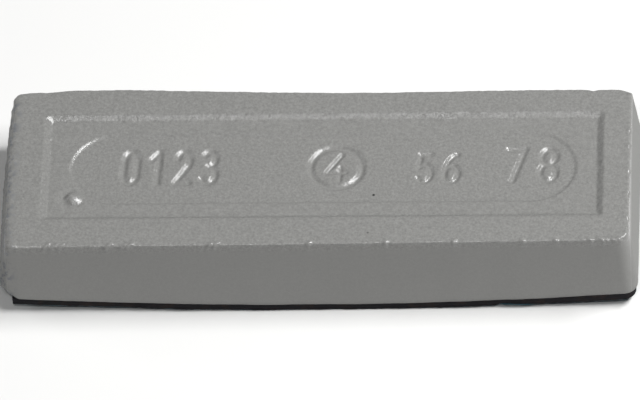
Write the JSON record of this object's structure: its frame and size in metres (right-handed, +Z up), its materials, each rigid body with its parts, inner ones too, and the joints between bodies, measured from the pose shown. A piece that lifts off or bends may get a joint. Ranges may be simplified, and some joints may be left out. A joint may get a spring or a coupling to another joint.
{
  "type": "stick-on wheel balance weight",
  "caption": "Cast lead bar, painted grey, with a sunk panel on top and foam tape on its bowed underside. It sticks inside a wheel rim to balance the wheel.",
  "frame": {"origin": "on the underside of the release film, on its small flat spot, straight below the middle of the flat top", "axes": "+X along the weight, to the right as seen from the front; -Y is the front long side; +Z up, from the stuck face to the flat top"},
  "size_m": [0.0669, 0.0235, 0.0095],
  "materials": {
    "painted_lead": "thin satin grey paint over cast lead",
    "black_foam": "matt closed-cell foam",
    "release_film": "smooth thin film"
  },
  "bodies": {
    "root": {"cast_body": "painted_lead", "foam_tape": "black_foam", "release_film": "release_film"}
  },
  "joints": []
}
